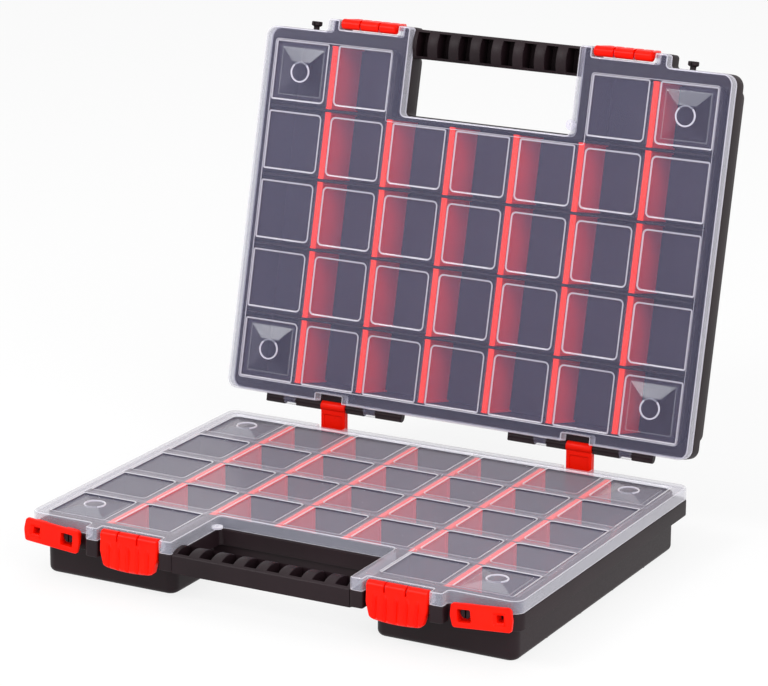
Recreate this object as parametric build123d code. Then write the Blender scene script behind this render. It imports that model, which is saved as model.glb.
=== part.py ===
from build123d import *
import os
from math import atan2, cos, degrees, radians, sin, sqrt

# Double-sided sorting box: two identical trays with clear lids, hinged back to back by two red
# link straps. It stands open as it is shown: the lower tray lies flat and the upper one leans back.
# Each tray is drawn lying flat: x to the right, y to the hinge side, z up from its underside.

# Grid of compartments, seen as windows in the lid
COLUMNS = 7
ROWS = 5
WINDOW = 46.8
BAR_X = 8.3
BAR_Y = 8.45
TOWER_COLUMNS = 2

# Lid
LID_BORDER_X = 10.8
LID_BORDER_Y = 10.5
LID_PLATE = 1.8
LID_WALL = 1.5
LID_RIM = 9.5
LID_CORNER = 9.0
LID_EDGE = 1.2
FIELD_DROP = 0.5
WINDOW_DROP = 2.0
WINDOW_FLOOR = 1.6
PAD_RIM = 1.2

# Stacking bosses in the four corner windows of a lid
BOSS_BASE = 38.0
BOSS_TOP = 17.0
BOSS_RISE = 2.6
RING_OUTER = 9.6
RING_INNER = 7.0
RING_RISE = 0.7
RING_DEPTH = 1.2

# Small flat eyelet on the left side of the cut-out
EYELET_RADIUS = 4.2
EYELET_HOLE = 1.1
EYELET_PLATE = 1.5
EYELET_INSET = 2.2
EYELET_FRONT = 8.0
EYELET_DROP = 5.5

# Handle cut-out and the two latch tabs beside it
CUTOUT_HALF = 72.5
CUTOUT_CORNER = 5.0
TAB_REACH = 11.3
TAB_WIDTH = 73.0
TAB_CORNER = 2.0
GAP_LEDGE = 4.0
GAP_CLEAR = 0.9

# Base
TRAY_HEIGHT = 48.5
BASE_WALL = 1.6
CROSS_WALL = 1.7
FLOOR = 1.8
TUB_MARGIN = 1.1
BOTTOM_BEVEL = 3.0
TUB_CORNER = 8.0
FLANGE = 2.0
FLANGE_LIP = 0.5
SKIRT_DROP = 12.2
SKIRT_WALL = 1.8
GROOVE_WIDTH = 2.4
GROOVE_DEPTH = 0.8
SEAT_GAP = 0.3

# Dividers
PLATE = 2.0
BEAD_WIDTH = 5.2
BEAD_DEPTH = 1.4
END_PLAY = 0.3

# Carrying handle
HANDLE_DEPTH = 22.8
HANDLE_HEIGHT = 14.9
HANDLE_CROWN = 3.6
HANDLE_BELLY = 1.5
HANDLE_FRONT = 1.5
HANDLE_WALL = 2.0
POCKET_WIDTH = 9.5
GRIP_RIB = 6.9

# Rear hinge: one rod per side carries black knuckles, two lid hooks and a link strap
HINGE_X = 107.2
HINGE_OUT = 4.2
HINGE_DROP = 12.0
EYE_RADIUS = 4.0
ROD_RADIUS = 2.2
ROD_FIT = 0.06
HOOK_WIDTH = 9.0
HOOK_INNER = 32.7
HOOK_OUTER = 38.8
HOOK_ARM = 3.0
SNAP_MOUTH = 3.4
HINGE_HALF = 61.0
SIDE_PLAY = 0.4
STRAP_WIDTH = 21.4
STRAP_PLATE = 5.0
STRAP_RECESS = 1.0
STRAP_RIM = 2.5
LID_GAP = 3.0
LID_NOTCH = 5.0

# Front latches
LATCH_WIDTH = 50.0
LATCH_FOOT = 43.6
LATCH_DROP = 29.0
LATCH_BELLY = 1.4
LATCH_SAG = 1.6
BARREL_RADIUS = 2.6
BARREL_DROP = 0.1
PIN_RADIUS = 1.1
PIN_FIT = 0.06
PIN_STUB = 1.1
SLIT_SPREAD = 8.4
SLIT_WIDTH = 1.8
LATCH_RIB = 1.0
RIB_EYE = 2.3
LATCH_PLAY = 0.4
LATCH_SIDE = 0.9
LATCH_SHELL = 2.4
LATCH_TAPER = 12.0
FLUTES = 5
FLUTE_PITCH = 8.2
FLUTE_RADIUS = 4.2
FLUTE_DEPTH = 0.8

# Tie strips that hold the closed pair together, and the pegs they turn on
PEG_DROP = 12.0
PEG_NECK = 2.35
PEG_HEAD = 4.3
PEG_THROAT = 2.9
PEG_HEAD_DEPTH = 1.5
PEG_SLIT = 1.2
TIE_FIT = 0.06
TIE_FLOOR = 2.8
TIE_PLAY = 0.3
TIE_FRONT = 10.2
TIE_CLEAR = 5.3
TIE_PLATE = 3.0
TIE_INNER_END = 10.9
TIE_OUTER_END = 10.0
TIE_HEIGHT = 17.5
TIE_END_SAG = 1.6
TIE_CORNER = 1.5
TIE_WELL_X = 10.2
TIE_WELL_Z = 9.4
TIE_HOLE = 5.3
TIE_DISH = 8.6
TIE_WALL = 1.6
TIE_TILT = 4.5

# Sides of small round forms, such as pins, eyes and pegs
ROUND_SIDES = 8

# Pose as shown
OPEN_ANGLE = 103.4

# Places that follow from the sizes above
COLUMN_PITCH = WINDOW + BAR_X
ROW_PITCH = WINDOW + BAR_Y
GRID_X = (COLUMNS * COLUMN_PITCH - BAR_X) / 2
GRID_Y = (ROWS * ROW_PITCH - BAR_Y) / 2
LID_X = GRID_X + LID_BORDER_X
LID_Y = GRID_Y + LID_BORDER_Y
TAB_Y = LID_Y + TAB_REACH
RIM_Z = TRAY_HEIGHT - LID_RIM
FLANGE_Z = RIM_Z - SEAT_GAP
SKIRT_Z = FLANGE_Z - SKIRT_DROP
WINDOW_Z = TRAY_HEIGHT - WINDOW_DROP
WALL_TOP = WINDOW_Z - WINDOW_FLOOR - SEAT_GAP
TUB_X = GRID_X + TUB_MARGIN
TUB_Y = GRID_Y + TUB_MARGIN
INNER_X = TUB_X - BASE_WALL
INNER_Y = TUB_Y - BASE_WALL
HINGE_Y = LID_Y + HINGE_OUT
HINGE_Z = TRAY_HEIGHT - HINGE_DROP
LINK_LENGTH = 2 * HINGE_DROP + LID_GAP
SKIRT_Y = LID_Y + FLANGE_LIP
CELL_Y = ROW_PITCH - CROSS_WALL
NOTCH_X = (COLUMNS / 2 - TOWER_COLUMNS) * COLUMN_PITCH + BAR_X / 2 - BASE_WALL
NOTCH_Y = (ROWS / 2 - 1) * ROW_PITCH - CROSS_WALL / 2 + BASE_WALL
CUTOUT_Y = NOTCH_Y + GAP_CLEAR + LID_WALL
LATCH_X = CUTOUT_HALF + TAB_WIDTH / 2
BARREL_Z = TRAY_HEIGHT - BARREL_RADIUS - BARREL_DROP
BARREL_Y = TAB_Y - PIN_RADIUS - LATCH_RIB
LATCH_NOTCH_Y = BARREL_Y - BARREL_RADIUS - LATCH_PLAY
LATCH_BACK = LATCH_NOTCH_Y + FLANGE_LIP + LATCH_PLAY
PEG_X = CUTOUT_HALF + TAB_WIDTH + TIE_CLEAR + TIE_INNER_END
PEG_Z = TRAY_HEIGHT - PEG_DROP
TIE_REACH = 2 * PEG_DROP + LID_GAP
UPPER_HINGE_Z = HINGE_Z + LINK_LENGTH
STRAP_NOTCH = STRAP_WIDTH / 2 + 2 * SIDE_PLAY
OVER = 1.0


def column_x(column):
    """Middle of a column of windows, counted from the left."""
    return (column - (COLUMNS - 1) / 2) * COLUMN_PITCH


def row_y(row):
    """Middle of a row of windows, counted from the handle side."""
    return (row - (ROWS - 1) / 2) * ROW_PITCH


def column_joins(row):
    """Where dividers stand in a row: the handle row has compartments beside the handle only."""
    joins = range(1, COLUMNS)
    if row == 0:
        joins = [j for j in joins if j < TOWER_COLUMNS or j > COLUMNS - TOWER_COLUMNS]
    return [(j - COLUMNS / 2) * COLUMN_PITCH for j in joins]


def window_places():
    """Centres of all windows of one lid."""
    places = []
    for row in range(ROWS):
        for column in range(COLUMNS):
            if row > 0 or column < TOWER_COLUMNS or column >= COLUMNS - TOWER_COLUMNS:
                places.append((column_x(column), row_y(row)))
    return places


def corners_at(face, x, y):
    """The corners of a plan view at plus and minus x and at y."""
    return [v for v in face.vertices() if abs(abs(v.X) - x) < 0.01 and abs(v.Y - y) < 0.01]


def mirrored(half):
    """A closed plan from the points of its right half, listed from front to rear."""
    points = half + [(-x, y) for x, y in reversed(half) if x > 0]
    return make_face(Polyline(*points, close=True))


def soften(corners, radius, inside):
    """Round the corners of a wall's outer face, or cut those of its inner face straight."""
    cut = (2 - sqrt(2)) * radius
    return chamfer(corners, cut) if inside else fillet(corners, radius)


def outline(grow, ledge=0, inside=False):
    """Plan shared by lid and flange, grown by one distance; the ledge narrows the finger gap."""
    x, y, tab = LID_X + grow, LID_Y + grow, TAB_Y + grow
    cut_x, cut_y = CUTOUT_HALF - grow, CUTOUT_Y + grow + ledge
    tab_x = CUTOUT_HALF + TAB_WIDTH + grow
    latch_y = LATCH_NOTCH_Y + grow
    latch_half = LATCH_WIDTH / 2 + LATCH_SIDE - grow
    half = [(0, -cut_y), (cut_x, -cut_y), (cut_x, -tab)]
    half += [(LATCH_X - latch_half, -tab), (LATCH_X - latch_half, -latch_y)]
    half += [(LATCH_X + latch_half, -latch_y), (LATCH_X + latch_half, -tab)]
    half += [(tab_x, -tab), (tab_x, -y), (x, -y), (x, y), (0, y)]
    face = mirrored(half)
    outer = corners_at(face, x, -y) + corners_at(face, x, y)
    face = soften(outer, LID_CORNER + grow, inside)
    face = soften(corners_at(face, cut_x, -cut_y), CUTOUT_CORNER - grow, inside)
    tips = corners_at(face, cut_x, -tab) + corners_at(face, tab_x, -tab)
    return chamfer(tips, TAB_CORNER)


def lid_plan(grow, inside=False):
    """Plan of the lid: the shared outline with a notch at the rear edge for each strap."""
    plan = outline(grow, inside=inside)
    for side in (-1, 1):
        notch = Rectangle(2 * (STRAP_NOTCH - grow), 2 * (LID_NOTCH - grow))
        plan -= Pos(side * HINGE_X, LID_Y) * notch
    return plan


def slab(face, low, high):
    """A plan view given height."""
    return Pos(0, 0, low) * extrude(face, high - low)


def block(x0, x1, y0, y1, z0, z1):
    """A box between two corners."""
    size = (abs(x1 - x0), abs(y1 - y0), abs(z1 - z0))
    return Pos((x0 + x1) / 2, (y0 + y1) / 2, (z0 + z1) / 2) * Box(*size)


def side_profile(face, x0, x1):
    """A side view, drawn with its x along y and its y along z, given a width along x."""
    plane = Plane(origin=(x0, 0, 0), x_dir=(0, 1, 0), z_dir=(1, 0, 0))
    return extrude(plane * face, x1 - x0)


def small_round(radius):
    """Section of a small round form, inside a circle of this radius."""
    return RegularPolygon(radius, ROUND_SIDES)


def small_bore(radius):
    """Section of a small round hole, clear of a circle of this radius."""
    return RegularPolygon(radius, ROUND_SIDES, major_radius=False)


def along_x(face, x0, x1, y, z):
    """A section at one place of the side view, given a width along x."""
    return side_profile(Pos(y, z) * face, x0, x1)


def facing_front(x, y, z):
    """A plane that faces the handle side, with its x along x and its y along z."""
    return Plane(origin=(x, y, z), x_dir=(1, 0, 0), z_dir=(0, -1, 0))


def grid_field():
    """Plan of the slightly sunk area of the lid that holds the windows."""
    inner = (COLUMNS / 2 - TOWER_COLUMNS) * COLUMN_PITCH + BAR_X / 2
    step = (ROWS / 2 - 1) * ROW_PITCH - BAR_Y / 2
    half = [(0, -step), (inner, -step), (inner, -GRID_Y), (GRID_X, -GRID_Y)]
    return mirrored(half + [(GRID_X, GRID_Y), (0, GRID_Y)])


def stacking_boss(x, y):
    """A low pyramid with a ring on top, which meets its twin when the two lids face each other."""
    slope = degrees(atan2(BOSS_BASE - BOSS_TOP, 2 * BOSS_RISE))
    boss = Pos(x, y, WINDOW_Z) * extrude(Rectangle(BOSS_BASE, BOSS_BASE), BOSS_RISE, taper=slope)
    ring_top = WINDOW_Z + BOSS_RISE + RING_RISE
    boss += slab(Pos(x, y) * small_round(RING_OUTER), WINDOW_Z, ring_top)
    return boss - slab(Pos(x, y) * small_round(RING_INNER), ring_top - RING_DEPTH, ring_top + OVER)


def hinge_seats(side):
    """Places on the hinge rod of one side: the inner hook, the strap and the outer hook."""
    seats = []
    for middle, width in ((-HOOK_INNER, HOOK_WIDTH), (0, STRAP_WIDTH), (HOOK_OUTER, HOOK_WIDTH)):
        x = side * (HINGE_X + middle)
        seats.append((x - width / 2, x + width / 2))
    return seats


def lid_hook(x0, x1):
    """A hook on the lid's rear rim that snaps over the hinge rod."""
    hook = along_x(small_round(EYE_RADIUS), x0, x1, HINGE_Y, HINGE_Z)
    hook += block(x0, x1, LID_Y - LID_WALL / 2, HINGE_Y, RIM_Z, RIM_Z + HOOK_ARM)
    bore = small_bore(ROD_RADIUS + ROD_FIT)
    hook -= along_x(bore, x0 - OVER, x1 + OVER, HINGE_Y, HINGE_Z)
    half, low = SNAP_MOUTH / 2, HINGE_Z - EYE_RADIUS - OVER
    return hook - block(x0 - OVER, x1 + OVER, HINGE_Y - half, HINGE_Y + half, low, HINGE_Z)


def latch_rib(x):
    """A thin rib of the lid, round at its end, that passes through a slit of the latch."""
    half, back = LATCH_RIB / 2, -LATCH_NOTCH_Y + LID_WALL / 2
    low, high = BARREL_Z - RIB_EYE, BARREL_Z + RIB_EYE
    rib = along_x(small_round(RIB_EYE), x - half, x + half, -BARREL_Y, BARREL_Z)
    rib += block(x - half, x + half, -BARREL_Y, back, low, high)
    bore = small_bore(PIN_RADIUS + PIN_FIT)
    return rib - along_x(bore, x - OVER, x + OVER, -BARREL_Y, BARREL_Z)


def eyelet():
    """Small flat eyelet in the finger gap, on the left side of the lid only."""
    place = Pos(EYELET_INSET - CUTOUT_HALF, -CUTOUT_Y - EYELET_FRONT)
    low = TRAY_HEIGHT - EYELET_DROP - EYELET_PLATE
    plan = place * (small_round(EYELET_RADIUS) - small_bore(EYELET_HOLE))
    return slab(plan, low, low + EYELET_PLATE)


def make_lid():
    """Clear lid: plate, rim, windows, stacking bosses, rear hooks and latch ribs."""
    lid = slab(lid_plan(0), RIM_Z, TRAY_HEIGHT)
    lid = chamfer(lid.faces().sort_by(Axis.Z)[-1].outer_wire().edges(), LID_EDGE)
    lid -= slab(lid_plan(-LID_WALL, inside=True), RIM_Z - OVER, TRAY_HEIGHT - LID_PLATE)
    places = [Pos(x, y) for x, y in window_places()]
    pads = [p * Rectangle(WINDOW + 2 * PAD_RIM, WINDOW + 2 * PAD_RIM) for p in places]
    lid += slab(Sketch() + pads, WINDOW_Z - WINDOW_FLOOR, TRAY_HEIGHT - FIELD_DROP)
    lid -= slab(grid_field(), TRAY_HEIGHT - FIELD_DROP, TRAY_HEIGHT + OVER)
    panes = [p * Rectangle(WINDOW, WINDOW) for p in places]
    lid -= slab(Sketch() + panes, WINDOW_Z, TRAY_HEIGHT + OVER)
    far_x, far_y = column_x(COLUMNS - 1), row_y(ROWS - 1)
    lid += [stacking_boss(x, y) for x in (-far_x, far_x) for y in (-far_y, far_y)]
    lid += eyelet()
    pin_reach = LATCH_WIDTH / 2 + LATCH_SIDE + LID_WALL / 2 + PIN_STUB
    for side in (-1, 1):
        middle = side * LATCH_X
        lid += [lid_hook(*span) for span in hinge_seats(side)[::2]]
        lid += [latch_rib(middle + way * SLIT_SPREAD) for way in (-1, 1)]
        bore = small_bore(PIN_RADIUS + PIN_FIT)
        lid -= along_x(bore, middle - pin_reach, middle + pin_reach, -BARREL_Y, BARREL_Z)
    return lid


def tub_plan(grow, inside=False):
    """Plan of the tub: a tower on each side of the handle and the full width behind it."""
    x, y = TUB_X + grow, TUB_Y + grow
    notch_x, notch_y = NOTCH_X - grow, NOTCH_Y + grow
    half = [(0, -notch_y), (notch_x, -notch_y), (notch_x, -y), (x, -y), (x, y), (0, y)]
    face = mirrored(half)
    outer = corners_at(face, x, -y) + corners_at(face, x, y) + corners_at(face, notch_x, -y)
    return soften(outer, TUB_CORNER + grow, inside)


def row_faces(row):
    """Front and rear wall faces of the compartments of one row."""
    front = -INNER_Y if row == 0 else row_y(row) - CELL_Y / 2
    rear = INNER_Y if row == ROWS - 1 else row_y(row) + CELL_Y / 2
    return front, rear


def cross_joins():
    """Places of the walls between the rows."""
    return [(join - ROWS / 2) * ROW_PITCH for join in range(1, ROWS)]


def cavity():
    """All the room inside a tub, between its outer walls and its fixed cross walls."""
    room = slab(tub_plan(-BASE_WALL, inside=True), FLOOR, TRAY_HEIGHT)
    half = CROSS_WALL / 2
    for y in cross_joins():
        room -= block(-TUB_X, TUB_X, y - half, y + half, 0, WALL_TOP)
    return room


def handle():
    """Arched carrying handle with open pockets between its ribs."""
    front = -(TAB_Y - HANDLE_FRONT)
    rear = front + HANDLE_DEPTH
    top, low = FLANGE_Z, FLANGE_Z - HANDLE_HEIGHT
    shoulder = low + HANDLE_BELLY
    middle = (front + rear) / 2
    section = Polyline((rear, top), (rear, shoulder))
    section += ThreePointArc((rear, shoulder), (middle, low), (front, shoulder))
    section += Polyline((front, shoulder), (front, top))
    section += ThreePointArc((front, top), (middle, top + HANDLE_CROWN), (rear, top))
    reach = CUTOUT_HALF - FLANGE_LIP
    bar = side_profile(make_face(section), -reach, reach)
    pitch = POCKET_WIDTH + GRIP_RIB
    pockets = int((2 * reach - GRIP_RIB) / pitch)
    for pocket in range(pockets):
        x = (pocket - (pockets - 1) / 2) * pitch
        half = POCKET_WIDTH / 2
        inner, outer = front + HANDLE_WALL, rear - HANDLE_WALL
        bar -= block(x - half, x + half, inner, outer, shoulder + HANDLE_WALL, TRAY_HEIGHT)
    return bar


def knuckle_spans(side):
    """Widths of the black knuckles: what the hooks and the strap leave free on the rod."""
    edges = [side * (HINGE_X - HINGE_HALF)]
    for x0, x1 in hinge_seats(side):
        near, far = sorted((x0, x1), key=abs)
        edges += [near - side * SIDE_PLAY, far + side * SIDE_PLAY]
    edges.append(side * (HINGE_X + HINGE_HALF))
    return [sorted(span) for span in zip(edges[::2], edges[1::2])]


def knuckle(x0, x1):
    """One black knuckle on the rear skirt."""
    low, high = HINGE_Z - EYE_RADIUS, FLANGE_Z - SEAT_GAP
    web = block(x0, x1, SKIRT_Y - SKIRT_WALL / 2, HINGE_Y, low, high)
    return web + along_x(small_round(EYE_RADIUS), x0, x1, HINGE_Y, HINGE_Z)


def hinge_side(side):
    """Knuckles and rod of one side of the hinge."""
    spans = knuckle_spans(side)
    ends = sorted(x for span in spans for x in span)
    rod = small_round(ROD_RADIUS)
    bar = along_x(rod, ends[0] + SIDE_PLAY, ends[-1] - SIDE_PLAY, HINGE_Y, HINGE_Z)
    return [knuckle(*span) for span in spans] + [bar]


def peg(x):
    """Split peg with a flared head on the front skirt."""
    root = -(SKIRT_Y - SKIRT_WALL / 2)
    shoulder = -(SKIRT_Y + TIE_PLAY + TIE_FLOOR + TIE_PLAY)
    tip = shoulder - PEG_HEAD_DEPTH
    whole = extrude(facing_front(x, root, PEG_Z) * small_round(PEG_NECK), root - tip)
    throat = facing_front(x, shoulder, PEG_Z) * small_round(PEG_THROAT)
    flare = degrees(atan2(PEG_HEAD - PEG_THROAT, PEG_HEAD_DEPTH))
    whole += extrude(throat, PEG_HEAD_DEPTH, taper=-flare)
    half, reach = PEG_SLIT / 2, PEG_HEAD + OVER
    slit_end = shoulder + PEG_HEAD_DEPTH
    return whole - block(x - half, x + half, tip - OVER, slit_end, PEG_Z - reach, PEG_Z + reach)


def tub():
    """Solid form of the tub, with a bevelled bottom edge."""
    whole = slab(tub_plan(0), 0, WALL_TOP)
    return chamfer(whole.faces().sort_by(Axis.Z)[0].outer_wire().edges(), BOTTOM_BEVEL)


def make_base():
    """Black base: tub with cross walls, flange and skirt, handle, hinge knuckles and pegs."""
    base = tub()
    rim = outline(FLANGE_LIP, GAP_LEDGE)
    skirt = rim - outline(FLANGE_LIP - SKIRT_WALL, GAP_LEDGE, inside=True)
    base += slab(rim, FLANGE_Z - FLANGE, FLANGE_Z)
    base += slab(skirt, SKIRT_Z, FLANGE_Z)
    base -= cavity()
    base += handle()
    half = GROOVE_WIDTH / 2
    for y in cross_joins():
        base -= block(-TUB_X, TUB_X, y - half, y + half, -OVER, GROOVE_DEPTH)
    relief = small_bore(EYE_RADIUS + SEAT_GAP)
    for side in (-1, 1):
        for x0, x1 in hinge_seats(side):
            base -= along_x(relief, x0 - SIDE_PLAY, x1 + SIDE_PLAY, HINGE_Y, HINGE_Z)
        base += hinge_side(side)
        base += peg(side * PEG_X)
    return base


def divider(row, x):
    """One lift-out divider: a plate with a thick bead at each end."""
    front, rear = row_faces(row)
    y0, y1 = front + END_PLAY, rear - END_PLAY
    plan = Pos(x, (y0 + y1) / 2) * Rectangle(PLATE, y1 - y0)
    for y in (y0 + BEAD_DEPTH / 2, y1 - BEAD_DEPTH / 2):
        plan += Pos(x, y) * Rectangle(BEAD_WIDTH, BEAD_DEPTH)
    return slab(plan, FLOOR, WALL_TOP)


def divider_row(row):
    """All dividers of one row."""
    return [divider(row, x) for x in column_joins(row)]


def latch_front(x):
    """Front view of a latch: straight top, sides that taper below and a foot with cut corners."""
    top, foot = TRAY_HEIGHT + OVER, TRAY_HEIGHT - LATCH_DROP
    wide, narrow = LATCH_WIDTH / 2, LATCH_FOOT / 2
    waist, heel = BARREL_Z - LATCH_TAPER, foot + LATCH_SAG
    tip = narrow / 2
    half = [(x + tip, foot), (x + narrow, heel), (x + wide, waist), (x + wide, top)]
    other = [(2 * x - a, b) for a, b in reversed(half)]
    return make_face(Polyline(*half, *other, close=True))


def make_latch(x):
    """Red snap latch: split barrel on a pin, fluted front, hollow back."""
    foot = TRAY_HEIGHT - LATCH_DROP
    front = -(BARREL_Y + BARREL_RADIUS)
    belly = front - LATCH_BELLY
    side = [(-LATCH_BACK, BARREL_Z), (-LATCH_BACK, foot), (front, foot)]
    side += [(belly, foot + 2 * LATCH_BELLY), (front, BARREL_Z)]
    x0, x1 = x - LATCH_WIDTH / 2, x + LATCH_WIDTH / 2
    latch = side_profile(make_face(Polyline(*side, close=True)), x0, x1)
    latch += along_x(small_round(BARREL_RADIUS), x0, x1, -BARREL_Y, BARREL_Z)
    back = BARREL_RADIUS - BARREL_Y
    latch &= extrude(facing_front(0, back, 0) * latch_front(x), LATCH_DROP)
    inner = LATCH_FOOT / 2 - LATCH_SHELL
    low, high = foot + LATCH_SAG + LATCH_SHELL, BARREL_Z - 2 * BARREL_RADIUS
    latch -= block(x - inner, x + inner, front + LATCH_SHELL, -LATCH_BACK + OVER, low, high)
    for flute in range(FLUTES):
        middle = x + (flute - (FLUTES - 1) / 2) * FLUTE_PITCH
        place = Pos(middle, belly + FLUTE_DEPTH - FLUTE_RADIUS)
        latch -= slab(place * small_bore(FLUTE_RADIUS), foot - OVER, BARREL_Z - BARREL_RADIUS)
    low = BARREL_Z - RIB_EYE - SEAT_GAP
    for middle in (x - SLIT_SPREAD, x + SLIT_SPREAD):
        half = SLIT_WIDTH / 2
        latch -= block(middle - half, middle + half, belly - OVER, back, low, TRAY_HEIGHT)
    reach = LATCH_SIDE + PIN_STUB
    return latch + along_x(small_round(PIN_RADIUS), x0 - reach, x1 + reach, -BARREL_Y, BARREL_Z)


def make_strap(side):
    """Red link strap: an eye at each end and a plate between, sunk between its edge rims."""
    x0, x1 = side * HINGE_X - STRAP_WIDTH / 2, side * HINGE_X + STRAP_WIDTH / 2
    half = STRAP_PLATE / 2
    strap = block(x0, x1, HINGE_Y - half, HINGE_Y + half, HINGE_Z, UPPER_HINGE_Z)
    for z in (HINGE_Z, UPPER_HINGE_Z):
        strap += along_x(small_round(EYE_RADIUS), x0, x1, HINGE_Y, z)
    low, high = HINGE_Z + EYE_RADIUS + STRAP_RIM, UPPER_HINGE_Z - EYE_RADIUS - STRAP_RIM
    for way in (-1, 1):
        face = HINGE_Y + way * half
        deep, out = face - way * STRAP_RECESS, face + way * OVER
        strap -= block(x0 + STRAP_RIM, x1 - STRAP_RIM, deep, out, low, high)
    for z in (HINGE_Z, UPPER_HINGE_Z):
        bore = small_bore(ROD_RADIUS + ROD_FIT)
        strap -= along_x(bore, x0 - OVER, x1 + OVER, HINGE_Y, z)
    return strap


def tie_plane(side, distance):
    """Plane of a tie strip at a distance in front of the skirt, with its x along the strip."""
    turn = radians(TIE_TILT)
    origin = (side * PEG_X, -(SKIRT_Y + distance), PEG_Z)
    return Plane(origin=origin, x_dir=(side * cos(turn), 0, sin(turn)), z_dir=(0, -1, 0))


def tie_slab(side, face, near, far):
    """Part of a tie strip between two distances from the skirt."""
    return extrude(tie_plane(side, near) * face, far - near)


def tie_outline():
    """Front view of a tie strip, with its pivot at the origin: straight edges and curved ends."""
    inner, outer = -TIE_INNER_END, TIE_REACH + TIE_OUTER_END
    half = TIE_HEIGHT / 2
    a, b = inner + TIE_END_SAG, outer - TIE_END_SAG
    edge = Polyline((a, half), (b, half))
    edge += ThreePointArc((b, half), (outer, 0), (b, -half))
    edge += Polyline((b, -half), (a, -half))
    edge += ThreePointArc((a, -half), (inner, 0), (a, half))
    return chamfer(make_face(edge).vertices(), TIE_CORNER)


def make_tie(side):
    """Red tie strip: it turns on the lower peg and snaps over the upper one when closed."""
    back, floor = TIE_PLAY, TIE_PLAY + TIE_FLOOR
    tie = tie_slab(side, tie_outline(), TIE_FRONT - TIE_PLATE, TIE_FRONT)
    well = Rectangle(TIE_WELL_X, TIE_WELL_Z)
    dish = Pos(TIE_REACH, 0) * Rectangle(TIE_DISH, TIE_DISH)
    hole = Pos(TIE_REACH, 0) * Rectangle(TIE_HOLE, TIE_HOLE)
    rim = 2 * TIE_WALL
    tie += tie_slab(side, Rectangle(TIE_WELL_X + rim, TIE_WELL_Z + rim), back, TIE_FRONT)
    cup = Pos(TIE_REACH, 0) * Rectangle(TIE_DISH + rim, TIE_DISH + rim)
    tie += tie_slab(side, cup, back, TIE_FRONT)
    for face in (well, dish):
        tie -= tie_slab(side, face, floor, TIE_FRONT + OVER)
    tie -= tie_slab(side, hole, back - OVER, TIE_FRONT)
    return tie - tie_slab(side, small_bore(PEG_NECK + TIE_FIT), back - OVER, TIE_FRONT)


def raise_tray(piece):
    """The twin of a lower piece in the upper tray: closed over the lower tray, then swung open."""
    closed = Pos(0, 0, 2 * TRAY_HEIGHT + LID_GAP) * Rot(0, 180, 0) * piece
    return closed.rotate(Axis((0, HINGE_Y, UPPER_HINGE_Z), (1, 0, 0)), -OPEN_ANGLE)


def all_parts():
    """Every node of the box with its solids, as it stands open."""
    base, lid = make_base(), make_lid()
    latches = {"left": make_latch(-LATCH_X), "right": make_latch(LATCH_X)}
    nodes = {"lower_base": [base], "upper_base": [raise_tray(base)]}
    nodes["lower_lid"], nodes["upper_lid"] = [lid], [raise_tray(lid)]
    for name, other in (("left", "right"), ("right", "left")):
        nodes["lower_latch_" + name] = [latches[name]]
        nodes["upper_latch_" + name] = [raise_tray(latches[other])]
    for row in range(ROWS):
        dividers = divider_row(row)
        nodes[f"lower_dividers_row_{row + 1}"] = dividers
        nodes[f"upper_dividers_row_{row + 1}"] = [raise_tray(piece) for piece in dividers]
    for name, side in (("left", -1), ("right", 1)):
        nodes["link_strap_" + name] = [make_strap(side)]
        nodes["tie_strip_" + name] = [make_tie(side)]
    return nodes


os.makedirs("parts", exist_ok=True)
for node, solids in all_parts().items():
    pieces = [solid for piece in solids for solid in piece.solids()]
    shape = pieces[0] if len(pieces) == 1 else Compound(children=pieces)
    export_step(shape, f"parts/{node}.step")
    print(node, len(pieces))
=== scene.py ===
import bpy, bmesh, math
from mathutils import Matrix, Vector
from mathutils.geometry import tessellate_polygon


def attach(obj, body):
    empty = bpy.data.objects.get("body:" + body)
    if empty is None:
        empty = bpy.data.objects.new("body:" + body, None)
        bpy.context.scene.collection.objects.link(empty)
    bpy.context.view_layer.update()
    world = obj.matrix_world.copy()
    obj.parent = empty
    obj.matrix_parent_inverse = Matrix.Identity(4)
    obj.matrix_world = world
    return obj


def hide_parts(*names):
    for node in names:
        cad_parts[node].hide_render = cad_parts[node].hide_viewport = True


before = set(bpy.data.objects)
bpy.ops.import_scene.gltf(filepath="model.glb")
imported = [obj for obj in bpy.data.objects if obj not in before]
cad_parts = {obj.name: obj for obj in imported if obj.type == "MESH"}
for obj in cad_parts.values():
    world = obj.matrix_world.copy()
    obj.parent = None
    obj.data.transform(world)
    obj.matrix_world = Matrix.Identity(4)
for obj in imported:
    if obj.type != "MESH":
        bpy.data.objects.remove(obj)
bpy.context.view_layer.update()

# ---------------------------------------------------------------------------
# Tubs: the black trays of the box, two mouldings of one tool in polypropylene with a
# finely eroded, matt skin. The lower one lies flat, the upper one is the same moulding
# turned over the hinge side. Each has two towers beside the handle and fixed cross walls.

MM = 0.001
TRAY_HEIGHT, CLOSED_GAP = 48.5, 3.0
PITCH_X, PITCH_Y = 55.1, 55.25
TUB_X, TUB_Y, TUB_CORNER = 192.5, 135.9, 8
TOWER_X, TOWER_Y, TOWER_CORNER = 81.8, 83.6, 3
TUB_ROUND, TUB_WALL, FLOOR, WALL_TOP, TOP_EDGE, FILLET = 4.4, 1.6, 1.8, 46.4, 0.4, 1.0
CROSS_WALLS, CROSS_HALF, CROSS_SUNK = (-82.875, -27.625, 27.625, 82.875), 0.85, 1.0
GROOVE_END, GROOVE_HALF, GROOVE_DEEP, GROOVE_EDGE = 210, 1.2, 0.9, 0.2
OPEN_ANGLE, CREASE = 103.4, 24
HINGE_Y, HINGE_Z, LINK = 148.6, 36.5, 27.0


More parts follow.
